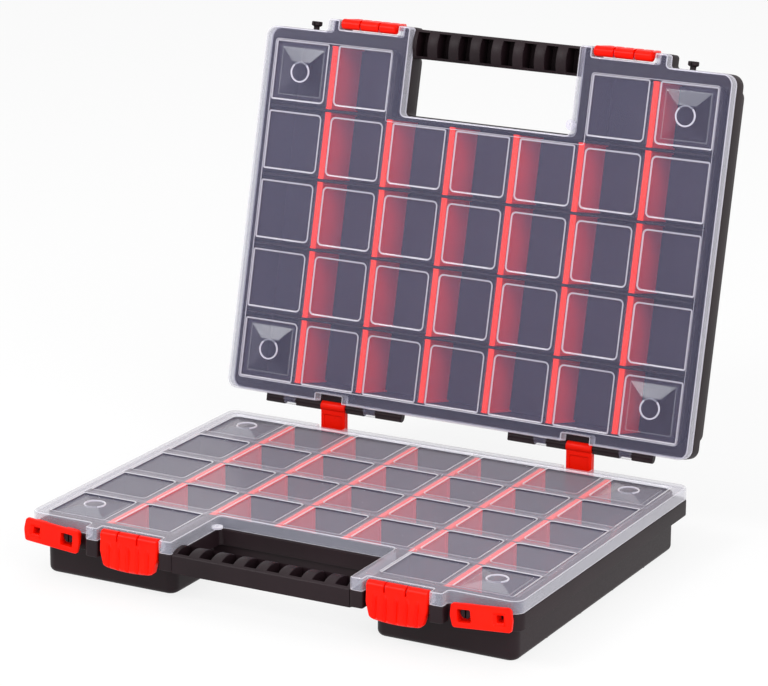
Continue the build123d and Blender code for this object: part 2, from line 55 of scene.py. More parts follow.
def upper_place():
    """From a piece of the lower tray to its twin in the upper one, turned over and swung open."""
    height = Matrix.Translation((0, 0, (2 * TRAY_HEIGHT + CLOSED_GAP) * MM))
    closed = height @ Matrix.Rotation(math.pi, 4, "Y")
    pivot = Vector((0, HINGE_Y, HINGE_Z + LINK)) * MM
    swing = Matrix.Rotation(-math.radians(OPEN_ANGLE), 4, "X")
    return Matrix.Translation(pivot) @ swing @ Matrix.Translation(-pivot) @ closed


def rounded(corners, grow=0.0, z=0.0, steps=8):
    """Outline through rounded corners (x, y, radius), listed anticlockwise, moved out by grow."""
    points = []
    for i, (x, y, radius) in enumerate(corners):
        before, after = corners[i - 1], corners[(i + 1) % len(corners)]
        a = Vector((x - before[0], y - before[1])).normalized()
        b = Vector((after[0] - x, after[1] - y)).normalized()
        way = 1 if a.x * b.y - a.y * b.x > 0 else -1
        out = Vector((a.y, -a.x)) + Vector((b.y, -b.x))
        place = Vector((x, y)) + out * (grow / (1 + a.dot(b)))
        r = max(radius + way * grow, 0.02)
        turn = way * math.acos(max(-1, min(1, a.dot(b))))
        start = place - a * r * math.tan(abs(turn) / 2)
        centre = start + Vector((-a.y, a.x)) * way * r
        for k in range(steps + 1):
            spoke = start - centre
            spoke.rotate(Matrix.Rotation(turn * k / steps, 2))
            points.append(Vector((centre.x + spoke.x, centre.y + spoke.y, z)))
    return points


def skin(shape, outlines, slot=0, closed=False):
    """A skin of quads over outlines of equal length; gives back their rows of vertices."""
    rows = [[shape.verts.new(Vector(p) * MM) for p in outline] for outline in outlines]
    pairs = list(zip(rows, rows[1:])) + ([(rows[-1], rows[0])] if closed else [])
    for low, high in pairs:
        for i in range(len(low)):
            j = (i + 1) % len(low)
            shape.faces.new((low[i], low[j], high[j], high[i])).material_index = slot
    return rows


def cover(shape, rows, slot=0):
    """Fills the flat area inside the first row of vertices and outside the others."""
    flat = [v for row in rows for v in row]
    for corners in tessellate_polygon([[v.co for v in row] for row in rows]):
        shape.faces.new([flat[i] for i in corners]).material_index = slot


def arc(centre, radius, start, end, steps=3):
    """Points (across, up) on a round edge, between two angles in degrees."""
    angles = [math.radians(start + (end - start) * k / steps) for k in range(steps + 1)]
    return [(centre[0] + radius * math.cos(t), centre[1] + radius * math.sin(t)) for t in angles]


def swept(corners, profile, steps=8):
    """Outlines for each (grow, height) of a profile."""
    return [rounded(corners, grow, z, steps) for grow, z in profile]


def block(shape, x0, x1, y0, y1, z0, z1, edge=0.3):
    """A bar with softened edges, as a moulded wall has."""
    corners = [(x0, y0, edge), (x1, y0, edge), (x1, y1, edge), (x0, y1, edge)]
    profile = [(-edge, z0), (0, z0 + edge), (0, z1 - edge), (-edge, z1)]
    rows = skin(shape, swept(corners, profile, 2))
    cover(shape, [rows[0]])
    cover(shape, [rows[-1]])


def cut_away(shape, tools):
    """Takes the tools' shapes out of a shape, as the mould's slides and cores do."""
    holders = []
    for part in (shape, tools):
        mesh = bpy.data.meshes.new("cutting")
        bmesh.ops.remove_doubles(part, verts=part.verts, dist=1e-7)
        bmesh.ops.recalc_face_normals(part, faces=part.faces)
        part.to_mesh(mesh)
        part.free()
        holders.append(bpy.data.objects.new("cutting", mesh))
        bpy.context.scene.collection.objects.link(holders[-1])
    cutter = holders[0].modifiers.new("cut", "BOOLEAN")
    cutter.operation, cutter.solver, cutter.object = "DIFFERENCE", "EXACT", holders[1]
    cutter.use_self = True
    bpy.context.view_layer.update()
    result = bmesh.new()
    result.from_mesh(holders[0].evaluated_get(bpy.context.evaluated_depsgraph_get()).data)
    for holder in holders:
        bpy.data.objects.remove(holder)
    return result


def seat(name, shape, materials, body, nodes, place=None):
    """Makes the finished shape an object that rides on its body and stands for its solids."""
    shape = shape.copy()
    bmesh.ops.remove_doubles(shape, verts=shape.verts, dist=2e-6)
    bmesh.ops.recalc_face_normals(shape, faces=shape.faces)
    if place is not None:
        bmesh.ops.transform(shape, matrix=place, verts=shape.verts)
    mesh = bpy.data.meshes.new(name)
    shape.to_mesh(mesh)
    shape.free()
    for material in materials:
        mesh.materials.append(material)
    mesh.shade_smooth()
    mesh.set_sharp_from_angle(angle=math.radians(CREASE))
    piece = bpy.data.objects.new(name, mesh)
    bpy.context.scene.collection.objects.link(piece)
    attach(piece, body)
    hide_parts(*nodes)


def seat_both(name, shape, materials, part):
    """The same moulding in the lower and in the upper tray."""
    for tray, place in (("lower", None), ("upper", upper_place())):
        body = f"{tray}_tray" if part == "base" else f"{tray}_{part}"
        seat(f"{tray}_{name}", shape, materials, body, [f"{tray}_{part}"], place)


def colour(code):
    """Linear colour of an sRGB hex value."""
    parts = [int(code[i:i + 2], 16) / 255 for i in (1, 3, 5)]
    return (*[c / 12.92 if c <= 0.04045 else ((c + 0.055) / 1.055) ** 2.4 for c in parts], 1.0)


def add(tree, kind, inputs=(), **settings):
    """Adds one node with its settings; inputs are (socket, value or output) pairs."""
    node = tree.nodes.new(kind)
    for key, value in settings.items():
        setattr(node, key, value)
    for socket, value in inputs:
        if isinstance(value, bpy.types.NodeSocket):
            tree.links.new(value, node.inputs[socket])
        else:
            node.inputs[socket].default_value = value
    return node


def ramp(tree, source, stops):
    """A colour ramp with sRGB stops."""
    node = add(tree, "ShaderNodeValToRGB", [("Fac", source)])
    bands = node.color_ramp.elements
    while len(bands) < len(stops):
        bands.new(0.5)
    for band, (place, code) in zip(bands, stops):
        band.position, band.color = place, colour(code)
    return node.outputs["Color"]


def noise(tree, place, scale, detail=2.0):
    """A soft random pattern; scale is in waves per metre."""
    inputs = [("Vector", place), ("Scale", scale), ("Detail", detail)]
    return add(tree, "ShaderNodeTexNoise", inputs).outputs["Fac"]


def spread(tree, source, low, high):
    """A value from 0 to 1, spread from low to high."""
    inputs = [("Value", source), ("To Min", low), ("To Max", high)]
    return add(tree, "ShaderNodeMapRange", inputs).outputs["Result"]


def relief(tree, height, strength, depth):
    """Normals of a pattern that stands a little out of the surface."""
    inputs = [("Height", height), ("Strength", strength), ("Distance", depth)]
    return add(tree, "ShaderNodeBump", inputs).outputs["Normal"]


def new_material(name):
    """A material with only its shader, and where its patterns are read."""
    material = bpy.data.materials.new(name)
    material.use_nodes = True
    tree = material.node_tree
    place = add(tree, "ShaderNodeTexCoord").outputs["Object"]
    return material, tree, tree.nodes["Principled BSDF"], place


def black_polypropylene():
    """Polypropylene with carbon black from an eroded mould: warm black, with a satin sheen on a
    fine grain. The real grain of about 0.1 mm is drawn at 1 mm, as coarse as it shows."""
    material, tree, shader, place = new_material("polypropylene_black_eroded")
    flow = noise(tree, place, 14.0, 4.0)
    grain = noise(tree, place, 1000.0)
    tint = ramp(tree, flow, ((0.3, "#1B1014"), (0.7, "#26181D")))
    tree.links.new(tint, shader.inputs["Base Color"])
    tree.links.new(spread(tree, grain, 0.40, 0.58), shader.inputs["Roughness"])
    tree.links.new(relief(tree, grain, 0.12, 0.0002), shader.inputs["Normal"])
    shader.inputs["IOR"].default_value = 1.49
    shader.inputs["Specular IOR Level"].default_value = 0.22
    return material


black = black_polypropylene()
tub_corners = [(-TUB_X, -TUB_Y, TUB_CORNER), (-TOWER_X, -TUB_Y, TUB_CORNER)]
tub_corners += [(-TOWER_X, -TOWER_Y, TOWER_CORNER), (TOWER_X, -TOWER_Y, TOWER_CORNER)]
tub_corners += [(TOWER_X, -TUB_Y, TUB_CORNER), (TUB_X, -TUB_Y, TUB_CORNER)]
tub_corners += [(TUB_X, TUB_Y, TUB_CORNER), (-TUB_X, TUB_Y, TUB_CORNER)]

tub = bmesh.new()
profile = arc((-TUB_ROUND, TUB_ROUND), TUB_ROUND, -90, 0, 5)
profile += [(0, WALL_TOP - TOP_EDGE), (-TOP_EDGE, WALL_TOP)]
profile += [(TOP_EDGE - TUB_WALL, WALL_TOP), (-TUB_WALL, WALL_TOP - TOP_EDGE)]
profile += [(-TUB_WALL, FLOOR + FILLET), (-TUB_WALL - FILLET, FLOOR)]
rows = skin(tub, swept(tub_corners, profile))
cover(tub, [rows[0]])
cover(tub, [rows[-1]])
grooves = bmesh.new()
for y in CROSS_WALLS:
    low, high = y - GROOVE_HALF, y + GROOVE_HALF
    block(grooves, -GROOVE_END, GROOVE_END, low, high, -3, GROOVE_DEEP, GROOVE_EDGE)
tub = cut_away(tub, grooves)
for y in CROSS_WALLS:
    x = TUB_X - CROSS_SUNK
    block(tub, -x, x, y - CROSS_HALF, y + CROSS_HALF, CROSS_SUNK, WALL_TOP)
seat_both("tub", tub, [black], "base")

# ---------------------------------------------------------------------------
# Flanges: the rim that carries the lid, with a skirt round it that stiffens the tray and
# hides the tub's upper half. Moulded in one with the tub, and black like it.

LID_X, LID_Y, LID_REAR, LID_ROUND, REAR_ROUND = 199.8, 145.2, 145.4, 9, 8
TAB_Y, TAB_X, TAB_ROUND = 155.2, 145.5, 2.5
CUT_X, CUT_Y, CUT_ROUND = 72.5, 86.0, 3.5
LATCH_X, LATCH_HALF, LATCH_NOTCH, NOTCH_OUT, NOTCH_IN = 109.0, 25.9, 147.4, 1.4, 1.0
STRAP_X, STRAP_GAP, STRAP_NOTCH, STRAP_OUT, STRAP_IN = 107.2, 11.5, 6.0, 0.6, 0.8
FLANGE_Z, FLANGE_PLATE, FLANGE_ROUND, FLANGE_IN = 38.7, 2.0, 1.0, 0.8
SKIRT_Z, SKIRT_WALL, SKIRT_EDGE, LIP, LEDGE = 26.5, 1.8, 0.3, 0.2, 0.6
RELIEFS, RELIEF_RADIUS = ((-32.7, 4.9), (0, 11.1), (38.8, 4.9)), 4.35


def rim_corners(ledge=0.0, notched=False):
    """Corners of the rim that lid and flange share, with the notches for the latches.
    The lid alone is notched at the rear too, where it swings past the link straps."""
    right = [(CUT_X, -CUT_Y - ledge, CUT_ROUND), (CUT_X, -TAB_Y, TAB_ROUND)]
    right += [(LATCH_X - LATCH_HALF, -TAB_Y, NOTCH_OUT), (LATCH_X - LATCH_HALF, -LATCH_NOTCH, NOTCH_IN)]
    right += [(LATCH_X + LATCH_HALF, -LATCH_NOTCH, NOTCH_IN), (LATCH_X + LATCH_HALF, -TAB_Y, NOTCH_OUT)]
    right += [(TAB_X, -TAB_Y, TAB_ROUND), (TAB_X, -LID_Y, TAB_ROUND)]
    right += [(LID_X, -LID_Y, LID_ROUND), (LID_X, LID_REAR, REAR_ROUND)]
    if notched:
        near, far, deep = STRAP_X - STRAP_GAP, STRAP_X + STRAP_GAP, LID_REAR - STRAP_NOTCH
        right += [(far, LID_REAR, STRAP_OUT), (far, deep, STRAP_IN)]
        right += [(near, deep, STRAP_IN), (near, LID_REAR, STRAP_OUT)]
    return right + [(-x, y, r) for x, y, r in reversed(right)]


def bore(shape, x0, x1, y, z, radius, steps=32):
    """A round bar along x."""
    angles = [t * math.tau / steps for t in range(steps)]
    ring = [(y + radius * math.cos(t), z + radius * math.sin(t)) for t in angles]
    rows = skin(shape, [[(x, a, b) for a, b in ring] for x in (x0, x1)])
    cover(shape, [rows[0]])
    cover(shape, [rows[1]])


flange = bmesh.new()
rim = rim_corners(LEDGE)
inner = LIP - SKIRT_WALL
outside = [(inner, SKIRT_Z), (LIP - SKIRT_EDGE, SKIRT_Z), (LIP, SKIRT_Z + SKIRT_EDGE)]
outside += arc((LIP - FLANGE_ROUND, FLANGE_Z - FLANGE_ROUND), FLANGE_ROUND, 0, 90)
rows = skin(flange, swept(rim, outside))
under = skin(flange, swept(rim, [(inner, SKIRT_Z), (inner, FLANGE_Z - FLANGE_PLATE)]))
hidden = [(-FLANGE_IN, FLANGE_Z - FLANGE_PLATE), (-FLANGE_IN, FLANGE_Z)]
hidden = skin(flange, swept(tub_corners, hidden))
cover(flange, [rows[-1], hidden[1]])
cover(flange, [under[1], hidden[0]])
reliefs = bmesh.new()
for side in (-1, 1):
    for middle, half in RELIEFS:
        x = side * (STRAP_X + middle)
        bore(reliefs, x - half, x + half, HINGE_Y, HINGE_Z, RELIEF_RADIUS)
flange = cut_away(flange, reliefs)
seat_both("flange", flange, [black], "base")

# ---------------------------------------------------------------------------
# Handles: an arched bar across the finger gap, cored from above so that seven ribs stand
# between eight pockets. It is part of the same black moulding.

HANDLE_FRONT, HANDLE_REAR, HANDLE_LOW, CROWN = -154.2, -131.4, 23.8, 3.6
HANDLE_HALF, HANDLE_EDGE, HANDLE_WALL = 72.3, 0.4, 2.0
POCKET, RIB, RIBS, RIB_BACK = 9.7, 8.7, 7, 1.2


def crown_height(y):
    """Height of the arched top of the handle."""
    middle, half = (HANDLE_FRONT + HANDLE_REAR) / 2, (HANDLE_REAR - HANDLE_FRONT) / 2
    radius = (half ** 2 + CROWN ** 2) / (2 * CROWN)
    return FLANGE_Z + CROWN - radius + math.sqrt(radius ** 2 - (y - middle) ** 2)


def along_x(shape, profile, stations):
    """A bar along x with one side view; stations are (x, inset) pairs, so ends can be rounded."""
    middle = Vector((sum(p[0] for p in profile), sum(p[1] for p in profile))) / len(profile)
    outlines = []
    for x, inset in stations:
        outline = []
        for p in profile:
            away = Vector(p) - middle
            spot = middle + away * max(0.0, 1 - inset / max(away.length, 1e-6))
            outline.append((x, spot.x, spot.y))
        outlines.append(outline)
    rows = skin(shape, outlines)
    cover(shape, [rows[0]])
    cover(shape, [rows[-1]])


def eased(x0, x1, steps):
    """Stations of a bar from x0 to x1, both ends eased by (way in, inset) steps."""
    return [(x0 + d, inset) for d, inset in steps] + [(x1 - d, inset) for d, inset in reversed(steps)]


def repeat(source, columns, pitch, material, centre=(0, 0, 0)):
    """Repeats a shape along x with Geometry Nodes and gives the result as a shape."""
    tree = bpy.data.node_groups.new("moulded_repeat", "GeometryNodeTree")
    face = tree.interface
    face.new_socket("Geometry", in_out="INPUT", socket_type="NodeSocketGeometry")
    for name, kind in (("Columns", "Int"), ("Width", "Float"), ("Centre", "Vector"), ("Finish", "Material")):
        face.new_socket(name, in_out="INPUT", socket_type=f"NodeSocket{kind}")
    face.new_socket("Geometry", in_out="OUTPUT", socket_type="NodeSocketGeometry")
    group = add(tree, "NodeGroupInput").outputs
    sizes = [("Vertices X", group["Columns"]), ("Vertices Y", 1)]
    sizes += [("Size X", group["Width"]), ("Size Y", 0.0)]
    last = add(tree, "GeometryNodeMeshGrid", sizes).outputs["Mesh"]
    moved = [("Geometry", last), ("Translation", group["Centre"])]
    last = add(tree, "GeometryNodeTransform", moved).outputs[0]
    copies = [("Points", last), ("Instance", group["Geometry"])]
    last = add(tree, "GeometryNodeInstanceOnPoints", copies).outputs[0]
    last = add(tree, "GeometryNodeRealizeInstances", [("Geometry", last)]).outputs[0]
    finish = [("Geometry", last), ("Material", group["Finish"])]
    last = add(tree, "GeometryNodeSetMaterial", finish).outputs[0]
    add(tree, "NodeGroupOutput", [("Geometry", last)])
    mesh = bpy.data.meshes.new("repeated")
    source.to_mesh(mesh)
    source.free()
    holder = bpy.data.objects.new("repeated", mesh)
    bpy.context.scene.collection.objects.link(holder)
    modifier = holder.modifiers.new("repeat", "NODES")
    modifier.node_group = tree
    values = {"Columns": columns, "Width": (columns - 1) * pitch * MM, "Centre": Vector(centre) * MM}
    values["Finish"] = material
    for item in face.items_tree:
        if item.in_out == "INPUT" and item.name in values:
            modifier[item.identifier] = values[item.name]
    bpy.context.view_layer.update()
    result = bmesh.new()
    done = bpy.data.meshes.new_from_object(holder.evaluated_get(bpy.context.evaluated_depsgraph_get()))
    result.from_mesh(done)
    bpy.data.objects.remove(holder)
    return result


def join(shape, other, slot):
    """Adds another shape's faces, with one finish."""
    mesh = bpy.data.meshes.new("joining")
    for face in other.faces:
        face.material_index = slot
    other.to_mesh(mesh)
    other.free()
    shape.from_mesh(mesh)
    bpy.data.meshes.remove(mesh)


front, rear, shoulder = HANDLE_FRONT, HANDLE_REAR, FLANGE_Z - HANDLE_EDGE
belly = [(rear, HANDLE_LOW + 1.5), (rear - 4, HANDLE_LOW + 0.6), ((front + rear) / 2, HANDLE_LOW)]
belly += [(front + 4, HANDLE_LOW + 0.6), (front, HANDLE_LOW + 1.5)]
front_top = [(front, shoulder)]
front_top += [(y, crown_height(y)) for y in (front + HANDLE_EDGE, front + HANDLE_WALL)]
well = [(front + HANDLE_WALL + 0.2, HANDLE_LOW + 4), (rear - HANDLE_WALL - 0.2, HANDLE_LOW + 4)]
rear_top = [(y, crown_height(y)) for y in (rear - HANDLE_WALL, rear - HANDLE_EDGE)]
rear_top += [(rear, shoulder)]
handle = bmesh.new()
along_x(handle, belly + front_top + well + rear_top, [(-HANDLE_HALF, 0), (HANDLE_HALF, 0)])
spots = [front + RIB_BACK + k * (rear - front - 2 * RIB_BACK) / 10 for k in range(11)]
arch = [(y, crown_height(y)) for y in spots]
rib_view = arch + [(rear - RIB_BACK, HANDLE_LOW + 2), (front + RIB_BACK, HANDLE_LOW + 2)]
one_rib = bmesh.new()
along_x(one_rib, rib_view, eased(-RIB / 2, RIB / 2, [(0, 0.7), (0.3, 0.2), (0.8, 0)]))
join(handle, repeat(one_rib, RIBS, POCKET + RIB, black), 0)
for side in (-1, 1):
    end = (RIBS + 1) / 2 * (POCKET + RIB) - RIB / 2
    along_x(handle, rib_view, [(side * end, 0.7), (side * (end + 0.8), 0), (side * HANDLE_HALF, 0)])
seat_both("handle", handle, [black], "base")

# ---------------------------------------------------------------------------
# Hinge knuckles and pegs: black eyes on the rear skirt hold a rod that carries the lid's hooks
# and the link straps; two split pegs on the front skirt carry the tie strips.

KNUCKLES, KNUCKLE_BACK = ((46.2, 69.6), (79.4, 96.1), (118.3, 141.1), (150.9, 168.2)), 143.6
EYE, ROD, ROD_FIT, ROD_NEAR, ROD_FAR = 4.0, 2.2, 0.06, 46.6, 167.8
PEG_X, PEG_Z, PEG_SLIT = 161.7, 36.5, 0.6
PEG_VIEW = [(-143.6, 2.35), (-147.8, 2.35), (-148.6, 4.0), (-149.0, 4.25), (-151.4, 4.25), (-151.9, 3.8)]

top = FLANGE_Z - 0.3
view = [(y, min(z, top)) for y, z in arc((HINGE_Y, HINGE_Z), EYE, -90, 90, 18)]
view += [(KNUCKLE_BACK, top), (KNUCKLE_BACK, HINGE_Z - EYE)]
knuckles = bmesh.new()
for side in (-1, 1):
    for near, far in KNUCKLES:
        x0, x1 = sorted((side * near, side * far))
        along_x(knuckles, view, eased(x0, x1, [(0, 0.5), (0.5, 0)]))
    bore(knuckles, *sorted((side * ROD_NEAR, side * ROD_FAR)), HINGE_Y, HINGE_Z, ROD)
seat_both("knuckles", knuckles, [black], "base")


def turned(shape, profile, x, z, steps=36):
    """A turned form about an axis along y at (x, z); the profile is (y, radius)."""
    outlines = []
    for y, r in profile:
        angles = [k * math.tau / steps for k in range(steps)]
        outlines.append([(x + r * math.cos(t), y, z + r * math.sin(t)) for t in angles])
    rows = skin(shape, outlines)
    cover(shape, [rows[0]])
    cover(shape, [rows[-1]])


pegs, slits = bmesh.new(), bmesh.new()
for side in (-1, 1):
    x = side * PEG_X
    turned(pegs, PEG_VIEW, x, PEG_Z)
    block(slits, x - PEG_SLIT, x + PEG_SLIT, -154, -146.8, PEG_Z - 6, PEG_Z + 6, 0.05)
pegs = cut_away(pegs, slits)
seat_both("pegs", pegs, [black], "base")

# ---------------------------------------------------------------------------
# Dividers: lift-out boards of red polypropylene with a bead at each end, slid in between
# the cross walls. Their tops are painted brighter, with a glow, for the light that falls into them through
# the clear lid.

BOARD, BOARD_EDGE, RAIL, RAIL_TALL, RAIL_EDGE = 2.0, 0.3, 4.4, 2.2, 0.5
BEAD_WIDTH, BEAD_DEPTH, BEAD_EDGE, END_PLAY = 5.6, 1.4, 0.4, 0.3
COLUMNS, ROWS, INNER_Y, CELL_HALF = 7, 5, 134.3, 26.775


def red_polypropylene(name, dark, light, roughness, grain_size, depth, painted_glow=0.0):
    """Red polypropylene: colour that flowed a little unevenly into the mould, and a fine skin.
    The painted glow is an emission that stands in for the light that comes through a piece so thin or so
    close under the lid; the piece is no lamp."""
    material, tree, shader, place = new_material(name)
    flow = noise(tree, place, 25.0)
    grain = noise(tree, place, 1 / (grain_size * MM))
    tint = ramp(tree, flow, ((0.3, dark), (0.7, light)))
    tree.links.new(tint, shader.inputs["Base Color"])
    rough = spread(tree, grain, roughness - 0.05, roughness + 0.06)
    tree.links.new(rough, shader.inputs["Roughness"])
    tree.links.new(relief(tree, grain, depth, 0.0002), shader.inputs["Normal"])
    shader.inputs["IOR"].default_value = 1.49
    shader.inputs["Specular IOR Level"].default_value = 0.12
    shader.inputs["Emission Color"].default_value = colour(light)
    shader.inputs["Emission Strength"].default_value = painted_glow
    return material


# Satin boards with bright orange-red pigment, seen through the lid. Their top rails lie against
# the lid and take a lighter copy of the red with a painted glow, standing in for the light that comes through
# it.
board_red = red_polypropylene("polypropylene_red_board", "#F42212", "#FE2E1C", 0.42, 1.4, 0.1)
rail_red_painted_glow = red_polypropylene("polypropylene_red_rail_painted_glow", "#FF3018", "#FF4024", 0.42, 1.4, 0.1, 0.32)
board_finish = [board_red, rail_red_painted_glow]


def rail(length):
    """The thicker top of one board."""
    top, half, end = bmesh.new(), RAIL / 2, length / 2
    block(top, -half, half, -end, end, WALL_TOP - RAIL_TALL, WALL_TOP, RAIL_EDGE)
    return top


def divider(length):
    """One board, standing on the floor of the tray and centred between its cross walls."""
    board, half, end, bead = bmesh.new(), BOARD / 2, length / 2, BEAD_WIDTH / 2
    neck, soft, edge = end - BEAD_DEPTH, BEAD_EDGE, BOARD_EDGE
    right = [(half, -neck, edge), (half, neck, edge), (bead, neck, soft), (bead, end, soft)]
    left = [(-bead, end, soft), (-bead, neck, soft), (-half, neck, edge), (-half, -neck, edge)]
    left += [(-bead, -neck, soft), (-bead, -end, soft)]
    corners = right + left + [(bead, -end, soft), (bead, -neck, soft)]
    top = WALL_TOP - edge
    rows = skin(board, swept(corners, [(-edge, FLOOR), (0, FLOOR + edge), (0, top - edge), (-edge, top)], 1))
    cover(board, [rows[0]])
    cover(board, [rows[-1]])
    return board


for row in range(ROWS):
    middle = (row - (ROWS - 1) / 2) * PITCH_Y
    front = -INNER_Y if row == 0 else middle - CELL_HALF
    rear = INNER_Y if row == ROWS - 1 else middle + CELL_HALF
    columns, pitch = (2, 5 * PITCH_X) if row == 0 else (COLUMNS - 1, PITCH_X)
    length, centre = rear - front - 2 * END_PLAY, (0, (front + rear) / 2, 0)
    boards = bmesh.new()
    join(boards, repeat(divider(length), columns, pitch, board_red, centre), 0)
    join(boards, repeat(rail(length), columns, pitch, rail_red_painted_glow, centre), 1)
    for tray, place in (("lower", None), ("upper", upper_place())):
        node = f"{tray}_dividers_row_{row + 1}"
        seat(node + "_boards", boards, board_finish, f"{tray}_tray", [node], place)

# ---------------------------------------------------------------------------
# Lids: clear polystyrene, injection moulded and polished, with a sunk window over each
# compartment. The panes have a fine grain; the sloped lips round them carry a painted highlight. A low
# pyramid with a ring stands in each corner window, and a small eyelet in the finger gap.

RIM_Z, RIM_IN, RIM_OUT, LID_WALL, LID_EDGE, PLATE_UNDER = 39.0, 0.2, 0.3, 1.5, 1.2, 46.7
FIELD_Z, PANE_Z, PAD_Z, PAD_HALF, PAD_ROUND = 48.0, 46.5, 44.9, 24.6, 1.5
WINDOW_HALF, WINDOW_ROUND, FRAME, FRAME_ROUND = 23.4, 4.2, 0.9, 1.9
FIELD_X, FIELD_Y, FIELD_STEP_X, FIELD_STEP_Y, FIELD_ROUND = 189.85, 135.05, 85.65, 79.8, 2
BOSS_HALF, BOSS_TOP, BOSS_Z, BOSS_LINE = 19.0, 8.5, 49.1, 0.9
RING_OUT, RING_IN, RING_Z, RING_EDGE = 8.3, 7.1, 49.8, 0.3
EYELET, EYELET_OUT, EYELET_IN, EYELET_LOW, EYELET_HIGH = (-70.3, -94.0), 4.2, 1.1, 41.5, 43.0
HOOK_X, HOOK_HALF, HOOK_BACK, HOOK_ARM, HOOK_MOUTH = (74.5, 146.0), 4.5, 143.7, 3.0, 1.7
BARREL_Y, BARREL_Z, SLIT, LATCH_RIB, RIB_EYE, RIB_ROOT = -152.1, 44.3, 8.4, 0.5, 2.3, -147.0
HANDLE_COLUMNS = (2, 3, 4)


def clear_polystyrene(name, tints, low, high, roughness, grain_size=None, depth=0.0):
    """Clear polystyrene: a thin lilac haze that thickens and whitens at a low angle, and a
    polished skin. The haze drifts slowly, as the melt flowed, and lets most of the light through
    to what lies below. Grain of about 0.3 mm is drawn at 1 mm, as coarse as it shows."""
    material, tree, shader, place = new_material(name)
    drift = spread(tree, noise(tree, place, 9.0), 0.9, 1.1)
    facing = add(tree, "ShaderNodeLayerWeight", [("Blend", 0.3)]).outputs["Facing"]
    tint = ramp(tree, facing, ((0.05, tints[0]), (0.5, tints[1])))
    tree.links.new(tint, shader.inputs["Base Color"])
    haze = spread(tree, facing, low, high)
    body = add(tree, "ShaderNodeMath", [(0, haze), (1, drift)], operation="MULTIPLY").outputs[0]
    shade = add(tree, "ShaderNodeLightPath").outputs["Is Shadow Ray"]
    passed = spread(tree, shade, 1.0, 0.15)
    opacity = add(tree, "ShaderNodeMath", [(0, body), (1, passed)], operation="MULTIPLY")
    tree.links.new(opacity.outputs[0], shader.inputs["Alpha"])
    shader.inputs["IOR"].default_value = 1.59
    shader.inputs["Roughness"].default_value = roughness
    if grain_size:
        grain = noise(tree, place, 1 / (grain_size * MM))
        tree.links.new(relief(tree, grain, depth, 0.0003), shader.inputs["Normal"])
    return material


# Bars and border: clear, so the red boards shine through. Panes: grained, bluish, a little milky.
# Edges: the lips of the windows and of the rim look white: their whiter, denser haze is a painted highlight
# for the light they gather along the sheet. The rim wall is seen through more plastic and looks milky; the
# pyramids' base bands and front facets share its finish as a painted highlight and reflection.
lid_finish = [
    clear_polystyrene("polystyrene_clear_polished", ("#A8AAD2", "#D6D0DC"), 0.055, 0.50, 0.10),
    clear_polystyrene("polystyrene_clear_grained", ("#AEABD4", "#C9C5D6"), 0.085, 0.40, 0.28, 1.0, 0.10),
    clear_polystyrene("polystyrene_clear_edge_painted_highlight", ("#E8E4F4", "#FCFAFF"), 0.52, 0.72, 0.15),
    clear_polystyrene("polystyrene_clear_rim_and_painted_glint", ("#C8CADC", "#E4E2EA"), 0.22, 0.55, 0.15)]
PANE, EDGE_HIGHLIGHT, MILKY_AND_GLINT = 1, 2, 3


def window_middle(column, row):
    """Middle of a window in the regular grid."""
    return (column - (COLUMNS - 1) / 2) * PITCH_X, (row - (ROWS - 1) / 2) * PITCH_Y


def square(x, y, half, radius):
    """Corners of a square pad or pyramid."""
    return [(x + a * half, y + b * half, radius) for a, b in ((-1, -1), (1, -1), (1, 1), (-1, 1))]


def window_corners(column, row):
    """Corners of a window: on the frame of the field it runs out to the frame, with a tight corner."""
    x, y = window_middle(column, row)
    framed_left = column == 0 or (column, row) == (HANDLE_COLUMNS[-1] + 1, 0)
    framed_right = column == COLUMNS - 1 or (column, row) == (HANDLE_COLUMNS[0] - 1, 0)
    framed_front = row == 0 or (row == 1 and column in HANDLE_COLUMNS)
    framed_rear = row == ROWS - 1
    corners = []
    for a, b in ((-1, -1), (1, -1), (1, 1), (-1, 1)):
        across = framed_right if a > 0 else framed_left
        along = framed_rear if b > 0 else framed_front
        radius = FRAME_ROUND if across or along else WINDOW_ROUND
        place = (x + a * (WINDOW_HALF + FRAME * across), y + b * (WINDOW_HALF + FRAME * along))
        corners.append((*place, radius))
    return corners


def circle(x, y, radius, z, steps=40):
    """A round outline."""
    turns = [math.tau * k / steps for k in range(steps)]
    return [(x + radius * math.cos(t), y + radius * math.sin(t), z) for t in turns]


windows = [(c, r) for r in range(ROWS) for c in range(COLUMNS) if r > 0 or c not in HANDLE_COLUMNS]
corner_windows = [(c, r) for c, r in windows if c in (0, COLUMNS - 1) and r in (0, ROWS - 1)]
lid_rim = rim_corners(notched=True)
lid = bmesh.new()
foot = [(RIM_IN - LID_WALL, RIM_Z), (-RIM_OUT, RIM_Z), (0, RIM_Z + RIM_OUT)]
wall = [(-LID_WALL, PLATE_UNDER), (-LID_WALL, RIM_Z + RIM_IN), foot[0]]
wall = skin(lid, swept(lid_rim, wall), MILKY_AND_GLINT)
